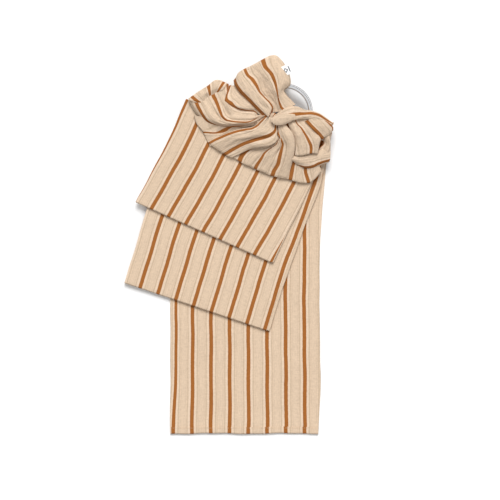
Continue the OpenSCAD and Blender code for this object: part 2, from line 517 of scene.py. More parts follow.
def stripe_group():
    """Rust stripes between pale bands and thin lines, across the first coordinate."""
    if "Stripes" in bpy.data.node_groups:
        return bpy.data.node_groups["Stripes"]
    tree, graph, given, out = node_group(
        "Stripes",
        [("Vector", "NodeSocketVector", None), ("Pitch", "NodeSocketFloat", 0.03),
         ("Stripe Width", "NodeSocketFloat", 0.0059), ("Cream", "NodeSocketColor", None),
         ("Rust", "NodeSocketColor", None), ("Pale", "NodeSocketColor", None),
         ("Line", "NodeSocketColor", None)],
        [("Color", "NodeSocketColor"), ("Stripe", "NodeSocketFloat")])
    place = graph.apart(given["Vector"])
    wander = graph.noise(graph.scaled(given["Vector"], (0.1, 1, 1)), 160, 3)
    across = graph.math("MULTIPLY_ADD", graph.math("SUBTRACT", wander, 0.5), 0.0008, place["X"])
    turn = graph.math("ADD", graph.math("DIVIDE", across, given["Pitch"]), 0.5)
    off = graph.math("SUBTRACT", graph.math("FRACT", turn), 0.5)
    away = graph.math("MULTIPLY", graph.math("ABSOLUTE", off), given["Pitch"])
    half = graph.math("MULTIPLY", given["Stripe Width"], 0.5)
    stripe = graph.math("SUBTRACT", 1.0, graph.step(away, graph.math("SUBTRACT", half, 0.0002),
                                                     graph.math("ADD", half, 0.0003)))

    def band(centre, reach, soft):
        gap = graph.math("ABSOLUTE", graph.math("SUBTRACT", away, centre))
        return graph.step(gap, reach - soft, reach + soft, 1.0, 0.0)

    pale = band(0.0048, 0.0015, 0.0004)
    line = band(0.0078, 0.0008, 0.0006)
    faint = band(0.0108, 0.0006, 0.0005)
    plain = graph.mix(graph.math("MULTIPLY", faint, 0.35), given["Cream"], given["Line"])
    lined = graph.mix(line, plain, given["Line"])
    banded = graph.mix(pale, lined, given["Pale"])
    graph.feed(out["Color"], graph.mix(stripe, banded, given["Rust"]))
    graph.feed(out["Stripe"], stripe)
    return tree


def streak_group():
    """Fine creases that run along gathered cloth: a height."""
    if "Gathering creases" in bpy.data.node_groups:
        return bpy.data.node_groups["Gathering creases"]
    tree, graph, given, out = node_group(
        "Gathering creases", [("Vector", "NodeSocketVector", None)], [("Height", "NodeSocketFloat")])
    long = graph.noise(graph.scaled(given["Vector"], (1, 0.10, 1)), 230, 3)
    broad = graph.noise(graph.scaled(given["Vector"], (1, 0.25, 1)), 95, 2)
    ridge = graph.math("ABSOLUTE", graph.math("SUBTRACT", long, 0.5))
    hollow = graph.math("ABSOLUTE", graph.math("SUBTRACT", broad, 0.5))
    graph.feed(out["Height"], graph.math("MULTIPLY_ADD", hollow, 1.6, graph.math("MULTIPLY", ridge, 1.0)))
    return tree


def cloth_material(name, bump=0.25, mottle=1.0, creases=0.0):
    """Striped cloth that follows the piece's own UVs, which are in metres across and along the cloth."""
    if name in bpy.data.materials:
        return bpy.data.materials[name]
    cloth = bpy.context.scene.sling_cloth
    material, graph, shader = new_material(name)
    uv = graph.add("ShaderNodeUVMap", uv_map="UVMap").outputs["UV"]
    stripes = graph.group(stripe_group(), uv)
    weave = graph.group(weave_group(), uv)
    stripes.inputs["Pitch"].default_value = cloth.stripe_pitch
    stripes.inputs["Stripe Width"].default_value = cloth.stripe_width
    for socket, colour in (("Cream", cloth.cream), ("Rust", cloth.rust),
                           ("Pale", cloth.pale), ("Line", cloth.line)):
        stripes.inputs[socket].default_value = (*colour, 1)
    weave.inputs["Thread Pitch"].default_value = cloth.thread_pitch
    shade = graph.math("MULTIPLY_ADD", graph.math("SUBTRACT", weave.outputs["Shade"], 1.0), mottle, 1.0)
    if creases:
        streaks = graph.group(streak_group(), uv)
        # Painted shade: the colour darkens to 0.9 in the valleys of the crease height, standing in for the
        # shade deep in the gathers; the same height also bumps the surface below
        depth = graph.step(streaks.outputs["Height"], 0.01, 0.10, 0.9, 1.0)
        shade = graph.math("MULTIPLY", shade, depth)
    grey = graph.colour(shade, shade, shade)
    graph.feed(shader.inputs["Base Color"], graph.mix(1.0, stripes.outputs["Color"], grey, "MULTIPLY"))
    rough = graph.math("MULTIPLY_ADD", weave.outputs["Shade"], -0.3, 1.15)
    graph.feed(shader.inputs["Roughness"], rough)
    relief = graph.bump(weave.outputs["Height"], bump, 0.0006)
    if creases:
        gathers = graph.bump(streaks.outputs["Height"], creases, 0.004)
        graph.feed(relief.inputs["Normal"], gathers.outputs["Normal"])
    graph.feed(shader.inputs["Normal"], relief.outputs["Normal"])
    shader.inputs["Sheen Weight"].default_value = 0.08
    shader.inputs["Sheen Roughness"].default_value = 0.5
    shader.inputs["Specular IOR Level"].default_value = 0.2
    return material


def gathered_material():
    # Gathered cloth: more mottled, with crease bumps and painted shade in the crease valleys
    return cloth_material("gathered striped cloth", bump=0.3, mottle=1.2, creases=0.55)


def metal_material():
    """Satin aluminium with fine turning marks and a little handling wear."""
    metal = bpy.context.scene.sling_metal
    material, graph, shader = new_material("satin aluminium")
    place = graph.add("ShaderNodeTexCoord").outputs["Object"]
    grain = graph.noise(graph.scaled(place, (1, 1, 4)), 1400, 3)
    wear = graph.noise(place, 90, 4)
    tone = graph.step(wear, 0.3, 0.75, 0.93, 1.0)
    worn = graph.colour(*(graph.math("MULTIPLY", tone, level) for level in metal.ring))
    graph.feed(shader.inputs["Base Color"], worn)
    graph.feed(shader.inputs["Roughness"], graph.math("MULTIPLY_ADD", wear, 0.06, metal.ring_gloss - 0.03))
    graph.feed(shader.inputs["Normal"], graph.bump(grain, 0.04, 0.00002).outputs["Normal"])
    shader.inputs["Metallic"].default_value = 1.0
    return material


def thread_material(name, colour):
    """Twisted sewing thread."""
    if name in bpy.data.materials:
        return bpy.data.materials[name]
    material, graph, shader = new_material(name)
    place = graph.add("ShaderNodeTexCoord").outputs["Object"]
    twist = graph.add("ShaderNodeTexWave", wave_type="BANDS", bands_direction="DIAGONAL")
    graph.feed(twist.inputs["Vector"], place)
    twist.inputs["Scale"].default_value = 900
    fibre = graph.math("MULTIPLY_ADD", graph.noise(place, 2500, 2), 0.3, 0.85)
    spun = graph.colour(*(graph.math("MULTIPLY", fibre, part) for part in colour))
    graph.feed(shader.inputs["Base Color"], spun)
    graph.feed(shader.inputs["Normal"], graph.bump(twist.outputs["Fac"], 0.3, 0.0001).outputs["Normal"])
    shader.inputs["Roughness"].default_value = 0.75
    return material


def label_material(width, length):
    """White tape with a small woven diamond between two bars."""
    metal = bpy.context.scene.sling_metal
    material, graph, shader = new_material("woven label")
    uv = graph.add("ShaderNodeUVMap", uv_map="UVMap").outputs["UV"]
    weave = graph.group(weave_group(), uv)
    weave.inputs["Thread Pitch"].default_value = 0.0004
    place = graph.apart(uv)
    aside = graph.math("ABSOLUTE", graph.math("SUBTRACT", place["X"], width / 2))
    ahead = graph.math("ABSOLUTE", graph.math("SUBTRACT", place["Y"], 1.5 * length))
    diamond = graph.step(graph.math("ADD", aside, ahead), 0.0040, 0.0042, 1.0, 0.0)
    hollow = graph.step(graph.math("ADD", aside, ahead), 0.0020, 0.0022)
    bar = graph.step(graph.math("ABSOLUTE", graph.math("SUBTRACT", ahead, 0.0060)), 0.0007, 0.0009, 1.0, 0.0)
    short = graph.step(aside, 0.0046, 0.0048, 1.0, 0.0)
    mark = graph.math("MAXIMUM", graph.math("MULTIPLY", diamond, hollow), graph.math("MULTIPLY", bar, short))
    colour = graph.mix(mark, (*metal.tape, 1), (*metal.mark, 1))
    grey = graph.colour(*[weave.outputs["Shade"]] * 3)
    graph.feed(shader.inputs["Base Color"], graph.mix(1.0, colour, grey, "MULTIPLY"))
    graph.feed(shader.inputs["Roughness"], graph.math("MULTIPLY_ADD", weave.outputs["Shade"], -0.2, 0.8))
    graph.feed(shader.inputs["Normal"], graph.bump(weave.outputs["Height"], 0.3, 0.0003).outputs["Normal"])
    return material


def finish(piece, material):
    piece.data.materials.clear()
    piece.data.materials.append(material)
    return piece


# --- the gathered shoulder -------------------------------------------------------------------------------

FLOOR_OF_GATHER = SHOULDER_HEIGHT + 0.6
WIRE_RADIUS = 3.25
OVER_RINGS, UNDER_RINGS = 31.8, 15.6
CLEAR_OF_RINGS = 0.9


def rail(width, points, heights):
    """One thread of a lobe from the knot to its rim: its place across the cloth, its route and its heights.

    width is one number, or several where the cloth creeps sideways on its way out."""
    widths = width if isinstance(width, tuple) else (width, width)
    return widths, points, heights


def lobe_piece(name, rails, rim=2.0, under=0.55, floor=FLOOR_OF_GATHER, step=1.3, rows=80, pleat=1.4,
               seed=0.0):
    """A lobe of gathered cloth laid over its rails, turned under at its rim with radius rim."""
    order = np.array([sum(widths) / len(widths) for widths, _, _ in rails])
    share = np.linspace(0, 1, rows)
    tops = np.array([np.column_stack([even_path(points, rows), spread(heights, share), spread(widths, share)])
                     for widths, points, heights in rails])
    spots = np.linspace(order[0], order[-1], int((order[-1] - order[0]) / step))
    top = through(order, tops, spots).transpose(1, 0, 2)
    across = top[..., 3]
    top = top[..., :3].copy()
    top[..., 2] += gather_folds(across, share[:, None], pleat, seed)
    top[..., 2] = np.maximum(top[..., 2], OVER_RINGS - CLEAR_OF_RINGS * off_rings(top))
    ends = top[-1]
    out = top[-1, :, :2] - top[-5, :, :2]
    out /= np.linalg.norm(out, axis=1)[:, None]
    ends[:, :2] -= out * rim
    top[-2, :, :2] -= out * rim * 0.6
    top[-3, :, :2] -= out * rim * 0.25
    rows_round = []
    for angle in np.radians([25, 50, 75, 100, 125, 150, 180]):
        flat = ends[:, :2] + out * (rim * math.sin(angle))
        rows_round.append(np.column_stack([flat, ends[:, 2] - rim * (1 - math.cos(angle))]))
    back = int(rows * under)
    low = top[::-1][1:back + 1].copy()
    fade = np.linspace(0, 1, back)[:, None]
    low[..., 2] = (ends[:, 2] - 2 * rim)[None] * (1 - fade) + floor * fade
    low[..., 2] = np.minimum(low[..., 2], UNDER_RINGS + CLEAR_OF_RINGS * off_rings(low))
    grid = np.concatenate([top, np.array(rows_round), low])
    across = np.concatenate([across, np.repeat(across[-1:], len(grid) - rows, axis=0)])
    middle = grid.shape[1] // 2
    along = np.broadcast_to(arc_length(grid[:, [middle]], 0) + 40 * seed, grid.shape[:2])
    piece = cloth_piece(name, grid, across, along)
    return piece, (float(order[-1] - order[0]) * MM, float(np.ptp(along)) * MM)


def spread(values, share):
    """Values set evenly along a rail, read at each share of its length."""
    return through(np.linspace(0, 1, len(values)), np.array(values, float), share)


def off_rings(grid):
    """How far each point lies to the side of the rings' wire, seen from above, in millimetres."""
    low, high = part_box("front_ring")
    centre = np.array([low.x + high.x, low.y + high.y]) / 2 / MM
    reach = (high.x - low.x) / 2 / MM - WIRE_RADIUS
    off = np.abs(np.linalg.norm(grid[..., :2] - centre, axis=-1) - reach)
    return np.maximum(0, off - 4)


def gather_folds(across, share, height, seed):
    """Small folds that run out from the knot, tighter and deeper near it, in millimetres."""
    near = (1 - share) ** 1.2
    drift = 1.5 * np.sin(share * 5 + seed) + 0.7 * np.sin(share * 12 + 2 * seed)
    broad = creased(across / 9.5 + 0.6 * drift + 2 * seed)
    fine = creased(across / 4.1 + drift + seed)
    dents = np.sin(across / 9 + 7 * share + seed) * np.sin(share * 11 - across / 17 + 2 * seed)
    gate = np.clip(2 * np.sin(across / 23 + seed) * np.sin(share * 9 + 2 * seed), 0, 1)
    other = np.clip(2 * np.sin(across / 15 + 2 * seed) * np.sin(share * 14 + seed), 0, 1)
    crease = creased(across / 6.3 + 2.2 * share + 3 * seed) * gate
    wrinkle = creased(across / 2.6 - 3.1 * share + 5 * seed) * other
    middle = np.sin(math.pi * np.clip(share * 1.05, 0, 1))
    return height * (near * (1.3 * broad + 0.6 * fine) + 0.6 * dents * middle + 1.4 * crease * middle
                     + 0.55 * wrinkle * (0.3 + middle))


def creased(turns):
    """A wave with round tops and sharp valleys."""
    return np.abs(np.sin(turns)) ** 0.75 - 0.6


def shifted(points, dx, dy):
    return [(x + dx, y + dy) for x, y in points]


STRIPE = 30

STRIPE_H = [(58, 202), (51, 195), (43, 187.5), (36, 184), (25, 182.5), (11, 179.5), (-3, 175), (-16, 169.5),
    (-25, 165.5), (-32, 161.5)]

RIGHT_OF_M = [(121, 203), (126, 193), (133, 183.5), (141, 174.5), (145.5, 168), (144, 161), (142, 153),
    (141, 145), (142, 132), (147, 117)]

FAN = [
    rail(-16, shifted(STRIPE_H, 1, -5), (30, 26, 21, 16.5)), 
    rail(-6, shifted(STRIPE_H, -0.5, 2.5), (33, 29, 23, 17)), 
    rail(0, STRIPE_H, (37, 33, 26, 18)), 
    rail(15, [(66, 203), (62, 194), (52, 183), (36, 174.5), (18, 169.5), (-1, 162), (-20, 152.5)],
         (35, 37.5, 29.5, 19)), 
    rail(STRIPE, [(74, 200), (74.5, 189), (73.5, 181), (66.5, 175), (56, 171.5), (39, 166.5), (21, 160),
         (7, 152.5), (-7, 144)], (34, 35, 27, 18)), 
    rail(44, [(76, 200), (76, 187), (76, 176), (75, 165), (66.5, 158.5), (48, 154.8), (30, 151),
         (15, 143.5), (4, 138.5)], (33, 34, 26, 18.4)), 
    rail(52, [(76, 201), (75, 189), (70, 177), (56, 166), (40, 161), (25, 157), (12, 148), (6, 139)],
         (30, 26.5, 21, 16.5)), 
    rail(2 * STRIPE, [(79, 200), (78, 186), (74, 170), (60, 161), (45, 157), (32, 152.5), (22.5, 143),
         (17, 132)], (30, 26.5, 21, 17)), 
    rail(67, [(79.5, 200), (79, 183), (76.5, 165), (65, 156.5), (49, 151.5), (34, 146.5), (26, 138),
         (22, 129)], (31, 27.5, 22.5, 17.6)), 
    rail(77, [(80, 200), (79.5, 182), (77, 166), (66, 155), (52, 146.5), (39.5, 138), (30, 126)],
         (32, 29, 24, 18.4)), 
    rail(3 * STRIPE, [(81, 200), (80.5, 182), (79, 168), (75.5, 160), (65.5, 153), (56.5, 146), (51, 136.5),
         (44, 126), (41.5, 120.5)], (32, 30, 25, 17.8)), 
    rail(106, [(80, 200), (81.5, 182), (82, 167), (78, 155), (70, 145), (62, 130), (55.5, 115)],
         (32, 33, 26.5, 19)), 
    rail(4 * STRIPE, [(77, 200), (77, 187), (78, 176), (82, 168), (85, 159.5), (83, 150.5), (80.5, 139.5),
         (77, 126), (72, 118.5), (68.5, 109.5)], (32, 33, 25, 18)), 
    rail(132, [(83, 200), (85, 188), (89, 178), (94, 167), (96, 155), (94, 140), (88, 122), (82.5, 106.5)],
         (35, 37.5, 29.5, 19.5)), 
    rail(141, [(88, 200), (92, 188), (98, 181), (103.5, 169), (105, 158), (104, 146), (100, 130), (96, 116),
         (91, 104.6)], (33, 35.5, 26.5, 18)), 
    rail(146, [(86, 200), (88, 188), (93, 178), (98, 167), (100, 156), (101, 146), (99, 130), (96, 116),
         (94, 104)], (31, 30, 23, 17.4)), 
    rail(5 * STRIPE, [(91, 200), (92.5, 188), (96.5, 180), (102.5, 168.5), (104.5, 157.5), (106, 151),
         (107, 140), (103, 130), (100.5, 116.5), (97.5, 103)], (30, 30, 22.5, 18)), 
    rail(165, [(98, 201), (104, 187), (110, 176), (115, 163), (118, 150), (116, 135), (112, 120),
         (112, 99)], (31, 31, 24, 19.2)), 
    rail(6 * STRIPE, [(104, 203), (106.5, 192), (113.5, 186), (120, 176), (126, 166), (130.5, 156),
         (130.5, 145), (126, 133), (121.5, 122), (127, 98.5)], (30, 30, 22.5, 18)), 
    rail(194, [(112, 203), (118.5, 191), (128, 180), (136, 168), (137.5, 156), (136.5, 145), (135, 130),
         (138, 106)], (31, 30, 24, 19)), 
    rail(204, RIGHT_OF_M, (30, 28, 22, 18)), 
    rail(212, shifted(RIGHT_OF_M, -4, -1), (27, 25, 20, 16)), 
]

FAN_FRONT = [
    rail((163, 162, 158, 156, 153), [(90, 198), (91, 189), (94, 182), (99, 170), (101, 158), (101, 150),
         (100, 143)], (31, 30, 28)), 
    rail((158, 158, 157, 151, 148), [(93, 198), (95, 189), (98.5, 182), (104, 169), (105.5, 158),
         (104.5, 150), (103, 142)], (32, 33, 30)), 
    rail((163, 163, 162, 160, 158), [(97, 199), (101, 189), (106, 179), (110, 168), (112.5, 157),
         (112.5, 149), (112, 141.5)], (34, 36.5, 32)), 
    rail(170, [(101, 201), (107, 191), (113, 181), (118, 170), (121, 158), (121.5, 151), (121.5, 143)],
         (34, 37.5, 33)), 
    rail(6 * STRIPE, [(104, 203), (106.5, 193), (113.5, 186), (120, 176), (126, 166), (130.5, 156),
         (130.5, 145)], (33, 35.5, 32)), 
    rail(192, [(112, 203), (118.5, 192), (128, 181), (136, 169), (138, 157), (137, 145)], (33.5, 36, 31.5)),
         
    rail(203, [(121, 203), (126, 193), (133, 183.5), (141, 174.5), (145.5, 168), (144, 161), (142, 152),
         (140.5, 144.5)], (36, 33.5, 29)), 
    rail(210, [(116, 202), (121, 192), (128, 182), (136, 173), (140, 167), (139, 160), (137, 152),
         (136, 146)], (31, 29, 26)), 
]

LEFT_HOLLOW = [
    rail((-24, -36, -48), [(54, 205), (42, 198), (30, 196), (12, 196), (-5, 196), (-22, 199), (-40, 203),
         (-56, 206)], (28, 24, 19)), 
    rail((-20, -31, -44), [(55, 204), (43, 193), (30, 189.5), (12, 188.5), (-4, 186.5), (-22, 186.5),
         (-38, 190), (-52, 193)], (28, 23, 17.5)), 
    rail((-16, -26, -42), [(56, 203), (44, 190), (28, 187), (8, 188), (-6, 182), (-20, 180.5), (-34, 184),
         (-47, 187)], (27, 20, 18.5)), 
    rail((-11, -15, -24), [(56, 202), (44, 187), (26, 183), (8, 181), (-8, 177), (-22, 174), (-40, 176)],
         (26, 21, 17)), 
    rail(-8, [(57, 201), (46, 184), (26, 178), (2, 171.5), (-18, 165), (-34, 163)], (25, 20, 16)), 
]

STRIPE_F = [(57, 205), (47, 202.5), (39.5, 198), (32, 195), (19, 194.5), (3, 196), (-5, 198), (-10, 202),
    (-14, 211), (-17, 219), (-20.5, 228), (-24.5, 236), (-28, 244), (-31, 254)]

LEFT_LOBE = [
    rail(-38, [(52, 201), (38, 189), (16, 187), (-4, 186), (-20, 189), (-35, 194), (-46, 203), (-56, 214),
         (-62, 226)], (24, 18, 16)), 
    rail((-26, -26, -26, -26, -31, -36, -40), [(53, 202), (40, 193), (30, 190.5), (14, 190), (-5, 189),
         (-20, 191), (-35, 196), (-45, 206), (-55, 218), (-64, 230)], (30, 23, 18)), 
    rail((-21, -21, -21, -22, -25, -30, -35), [(54, 203), (42, 195.5), (32, 192), (14, 191.5), (-4, 191),
         (-18, 193.5), (-32, 199), (-41, 208), (-50, 219), (-60, 234)], (32, 28, 20)), 
    rail(-14, [(55, 204), (44, 199), (34, 194), (16, 193), (0, 193.5), (-12, 197.5), (-22, 205), (-30, 217),
         (-37, 229), (-46, 245.5)], (34, 29, 21)), 
    rail(0, STRIPE_F, (36, 29, 21)), 
    rail(14, [(58, 205.5), (48, 205), (40, 203), (30, 202.5), (15, 203), (3, 206), (-2, 212), (-6, 221),
         (-10, 232), (-14, 246), (-16, 262)], (33, 28, 22)), 
    rail(26, [(58, 206), (49, 208), (41, 210), (30, 211), (18, 213), (8, 217), (3, 222), (-1, 231),
         (-4, 244), (-6, 258)], (29, 26, 21)), 
    rail(32, [(58, 207), (49, 211), (41, 215), (30, 217), (19, 220), (10, 225), (5, 230), (2, 238),
         (0, 246), (-1, 256)], (26, 22, 18)), 
]

RIM_BAND = [
    rail(-9, [(-60, 228), (-62, 229), (-65, 232.5)], (21, 22, 20)), 
    rail(0, [(-44, 224.5), (-52, 229), (-60, 236)], (22, 23, 21)), 
    rail(13, [(-37, 230), (-42, 238), (-47, 245)], (22, 25, 22)), 
    rail(29, [(-30, 235), (-32, 244), (-34, 253)], (22, 26, 22.5)), 
    rail(43, [(-25, 238), (-23, 249), (-22, 262)], (22, 26, 22.5)), 
    rail((60, 60), [(-21, 240), (-15.5, 248), (-8, 259)], (22, 26, 22.5)), 
    rail(68, [(-17, 240), (-9, 248), (-3, 257)], (21, 25, 22)), 
]

STRIPE_E = [(58, 207), (50, 208), (42, 214), (30, 215.5), (20, 217.5), (9.5, 221.5), (2, 225.5), (-4, 230),
    (-3, 237), (-1, 243), (1, 250), (2, 254)]

BACK_LOBE = [
    rail(-14, shifted(STRIPE_E, 2, -1), (24, 22, 19)), 
    rail(-5, shifted(STRIPE_E, -3, -2.5), (29, 26, 21)), 
    rail((6, 6, 5.5, 4.5, 0, 2.5, 0), STRIPE_E, (33, 31, 24)), 
    rail(12, [(59, 208), (50, 212), (42, 219), (30, 223), (20, 228), (12, 234), (7, 242), (6, 253)],
         (34, 32, 25)), 
    rail(26, [(60, 209), (52, 217), (42, 227), (32, 237), (22, 247), (14, 256)], (33, 31, 25)), 
    rail(38, [(62, 211), (55, 220), (47, 230), (38, 241), (29, 252), (21, 260)], (32, 29, 22)), 
]

STRIPE_A = [(60, 203), (57, 205.7), (49, 213.5), (40, 222.5), (29, 233.7), (18, 245), (11, 256), (9.5, 264)]

TOP_STRIP = [
    rail(-12, shifted(STRIPE_A, 5, 4), (28, 26, 22)), 
    rail(-4, shifted(STRIPE_A, -2.3, -2.3), (34, 32, 27)), 
    rail(0, STRIPE_A, (37, 36, 31)), 
    rail(15, [(62, 203), (60, 210), (52, 221), (42, 234), (31, 247), (22, 259), (17, 268), (15, 273.5)],
         (39, 40, 33)), 
    rail((27.2, 27.5, 28.5, 32, 33), [(63, 203.5), (66.5, 211), (68, 216.5), (65, 223), (55.5, 233.5),
         (48, 242), (43, 255), (39, 263), (31, 271), (27, 281)], (38, 38, 32.5)), 
    rail((30, 31, 33, 36, 38), [(64, 204), (68.5, 211), (70, 217), (67, 224), (57.5, 234), (50, 243),
         (46, 256), (42.5, 264), (34.5, 272), (31, 283)], (34, 34, 32)), 
]

EDGE_OF_TOP = [(106, 222.5), (100, 229), (94, 235), (90, 240), (87.3, 244), (90.5, 248.5), (94, 251),
    (97, 254.5), (97.7, 259), (97, 266), (93, 278), (87, 289)]

TOP_LOBE = [
    rail(27, [(66, 210), (62, 219), (50, 231), (42, 241), (37, 254), (33, 262), (28, 270), (25.5, 280)],
         (30, 30, 31.5)), 
    rail(34, [(70, 211), (67, 221), (57, 233), (49, 243), (45, 256), (41, 264), (34, 272), (31, 282.5)],
         (31, 32, 32.6)), 
    rail(43, [(75, 211), (73, 223), (66, 236), (58.5, 248), (52, 262), (44, 276), (38.5, 286.5)],
         (33, 33, 33)), 
    rail(50, [(81, 211.5), (77, 224), (72, 240), (66, 254), (58, 268), (50, 281), (45.5, 290)],
         (36, 38, 34)), 
    rail(2 * STRIPE, [(89, 212.5), (84, 216), (80.5, 224), (77, 241), (73, 258), (67, 271.5), (56.5, 283),
         (53, 294.5)], (37, 40, 34)), 
    rail(70, [(96, 217.5), (89, 224), (83, 232), (80.5, 243), (81, 254), (79, 268), (72, 284), (67.5, 301)],
         (36, 42, 34)), 
    rail(79, [(102, 221), (96, 227), (88, 235), (84, 243), (87, 251), (90.5, 259), (89, 272), (82, 288),
         (79, 298)], (35, 39, 33)), 
    rail(83, EDGE_OF_TOP, (33, 35, 30)), 
    rail((86, 88, 92, 88, 86), shifted(EDGE_OF_TOP, -4, -2), (28, 29, 26)), 
]

BAND_TOP = [(71, 203), (79, 210), (88, 216), (98, 219.7), (108, 219.3), (120, 214), (132.5, 211.8),
    (143.5, 208), (154.5, 201), (166, 192.5)]

BAND_FOOT = [(69, 199), (70.5, 195.5), (75, 192.5), (81, 191.5), (88, 192), (94, 194.5), (101, 197),
    (109, 198.7), (120, 199.2), (129, 198), (138, 196), (149, 193), (160, 190.5), (166, 191)]

BOW_BAND = [
    rail((-20, -19, -14, -13), shifted(BAND_TOP, -3, -5), (29, 31, 28, 22)), 
    rail((-14, -13, -8, -7), BAND_TOP, (37, 37, 34, 24)), 
    rail(0, [(69, 200), (80, 202), (92, 204.5), (106.5, 206.7), (119, 207.6), (131.5, 208.3), (143, 205.4),
         (154.5, 198), (165, 191.7)], (39, 39.5, 37, 26)), 
    rail(8, [(69, 199.5), (77, 200.5), (90, 201.5), (106.5, 201.5), (120, 203), (132.5, 202.7),
         (144, 199.6), (156, 194.3), (165.5, 191.2)], (40, 40.5, 38, 27)), 
    rail(15, BAND_FOOT, (39, 38, 35, 25)), 
    rail(20, shifted(BAND_FOOT, 1, 4), (35, 33, 28, 20)), 
]

BAND_ROLL = [
    rail(4, [(73, 199), (80, 202), (90, 204), (99, 204.5), (106, 204), (111, 203.5)], (38, 38, 36)), 
    rail(7, [(67.5, 200.5), (76, 204.5), (88, 207), (98, 207.6), (106, 206.5), (113, 204.5)],
         (42, 42.5, 41, 36)), 
    rail(13, [(67, 197.5), (76, 199), (88, 200.5), (98, 202.3), (106, 203), (114, 202)],
         (44, 44.5, 43, 36)), 
    rail(19, [(69, 194), (72, 190.8), (79, 189.8), (88, 190.8), (96, 194.5), (105, 198), (113, 200)],
         (41, 41, 40, 35)), 
    rail(23, [(73, 196), (76, 194), (82, 193.5), (90, 195), (97, 198), (106, 200), (112, 201)],
         (36, 36, 34)), 
]

BOW_FOLD = [
    rail(-7, [(124, 196), (129, 191), (136, 184), (144, 177), (149.5, 170)], (33, 31, 25)), 
    rail(-3.5, [(121, 196), (126.5, 190), (132.5, 183.5), (140.5, 175.5), (148, 167.5)], (37.5, 36.5, 29)), 
    rail(3, [(126, 198), (131.5, 191.5), (138, 185), (146, 177), (151.5, 170.5)], (38.5, 37, 30)), 
    rail(15, [(132, 200), (139, 193), (146, 186), (153, 179), (157.5, 174)], (37.5, 35.5, 28)), 
    rail(23, [(142, 200), (149, 194), (155, 188), (160, 182), (161.5, 177)], (36, 33, 27)), 
    rail(31, [(154, 196), (158, 194), (161.5, 191), (165, 187), (165.5, 183)], (30, 29, 25)), 
    rail(34, [(153, 194), (156, 192), (159, 189), (162, 185), (163, 182)], (27, 26, 23)), 
]

SIDE_FOLD = [
    rail(2, [(136, 190), (144, 178), (150, 168), (151, 161), (146, 156), (142, 152)], (22, 22, 20)), 
    rail(8, [(144, 192), (151, 180), (155, 169), (156, 161), (151, 152), (147, 145)], (24, 24, 20)), 
    rail(18, [(152, 193), (158, 181), (160, 168), (160, 157), (156, 146), (152, 138)], (24, 23, 20)), 
    rail(28, [(160, 192), (164, 180), (161.5, 167), (161.5, 155), (161, 143), (160, 132)], (20, 19, 17)), 
]

LEAF = [
    rail((-6, -5, 0, 5), [(159, 131), (151, 129), (144, 126), (133, 122), (123.5, 121.5), (110.5, 126.5),
         (101, 133.5)], (17, 22, 25)), 
    rail((-1, 0, 4, 7), [(160.5, 134), (151, 131.5), (143, 129), (133, 125), (123, 125), (111, 129.5),
         (100, 134.5)], (19, 25.5, 27)), 
    rail(9, [(161.5, 141), (152, 139), (143, 136.5), (132, 133), (122, 132), (111, 133.5), (99, 135.5)],
         (20, 27.5, 28)), 
    rail(17, [(161, 149), (152, 148.5), (143, 145), (131, 142), (120, 140), (110, 139), (99, 137)],
         (20, 27, 28)), 
    rail(23, [(157, 156), (149, 154), (141, 149), (129, 147), (116, 144), (107, 142.5), (99.6, 138.5)],
         (18, 25, 27)), 
]

LOBES = {
    "left_hollow": (LEFT_HOLLOW, dict(seed=0.3, pleat=1.4), ()),
    "left_lobe": (LEFT_LOBE, dict(seed=1.1, rim=3.0, pleat=2.2), ("left_lower_lobe",)),
    "left_rim_band": (RIM_BAND, dict(seed=2.0, rim=3.0, rows=22, pleat=0.5), ()),
    "back_lobe": (BACK_LOBE, dict(seed=2.7, rim=3.0), ("left_upper_lobe",)),
    "gathered_fan": (FAN, dict(seed=3.3, rim=1.8, rows=96), ("left_fan", "middle_fan", "right_fan")),
    "top_lobe_cloth": (TOP_LOBE, dict(seed=4.1, rim=6.0, under=0.8, rows=90, pleat=1.3),
                       ("top_lobe", "corner_fold")),
    "top_lobe_strip": (TOP_STRIP, dict(seed=5.2, rim=5.5, under=0.3, pleat=1.0), ()),
    "fan_front": (FAN_FRONT, dict(seed=3.9, rim=1.6, rows=64, under=0.35, pleat=1.1), ()),
    "side_fold": (SIDE_FOLD, dict(seed=6.4, rim=1.8, pleat=1.5), ("right_lower_fold",)),
    "bow_fold": (BOW_FOLD, dict(seed=7.7, rim=1.8, under=0.4, rows=36, pleat=0.3), ()),
    "bow_band": (BOW_BAND, dict(seed=8.8, rim=2.0, rows=90, pleat=1.0, under=0.5), ("right_bow",)),
    "band_roll": (BAND_ROLL, dict(seed=9.1, rim=1.8, rows=50, pleat=0.5, under=0.4), ()),
    "leaf_fold": (LEAF, dict(seed=9.5, rim=1.5, under=0.3, pleat=0.3), ()),
}


# --- operators -------------------------------------------------------------------------------------------


class SLING_OT_tail(Operator):
    """Lays the tail and the run that returns over it"""

    bl_idname = "sling.tail"
    bl_label = "Tail"

    def execute(self, context):
        short = 0.6
        tail = run_rows(TAIL_SIDES, None, middle_height("tail_run"), 1, 110, (26, FIRST_SHIFT), short,
                        creep=7)
        turn = turn_rows(FIRST_FOLD, outward_of(FIRST_FOLD), RUN_THICKNESS, 1, FIRST_SHIFT, short=short)
        back = run_rows(LOWER_SIDES, FIRST_FOLD, middle_height("lower_return_run"), -1, 44,
                        (LOWER_SHIFT, FIRST_SHIFT), short)
        lip = fold_lip(LOWER_FOLD, LOWER_WAY, LOWER_EDGE, LOWER_HEIGHT, LOWER_SHIFT, short, below=True)
        piece = run_piece("tail_cloth", (raised_end(tail), turn, backwards(back), lip))
        finish(piece, cloth_material("striped cloth"))
        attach(piece, "base")
        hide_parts("tail_run", "lower_return_run")
        return {"FINISHED"}


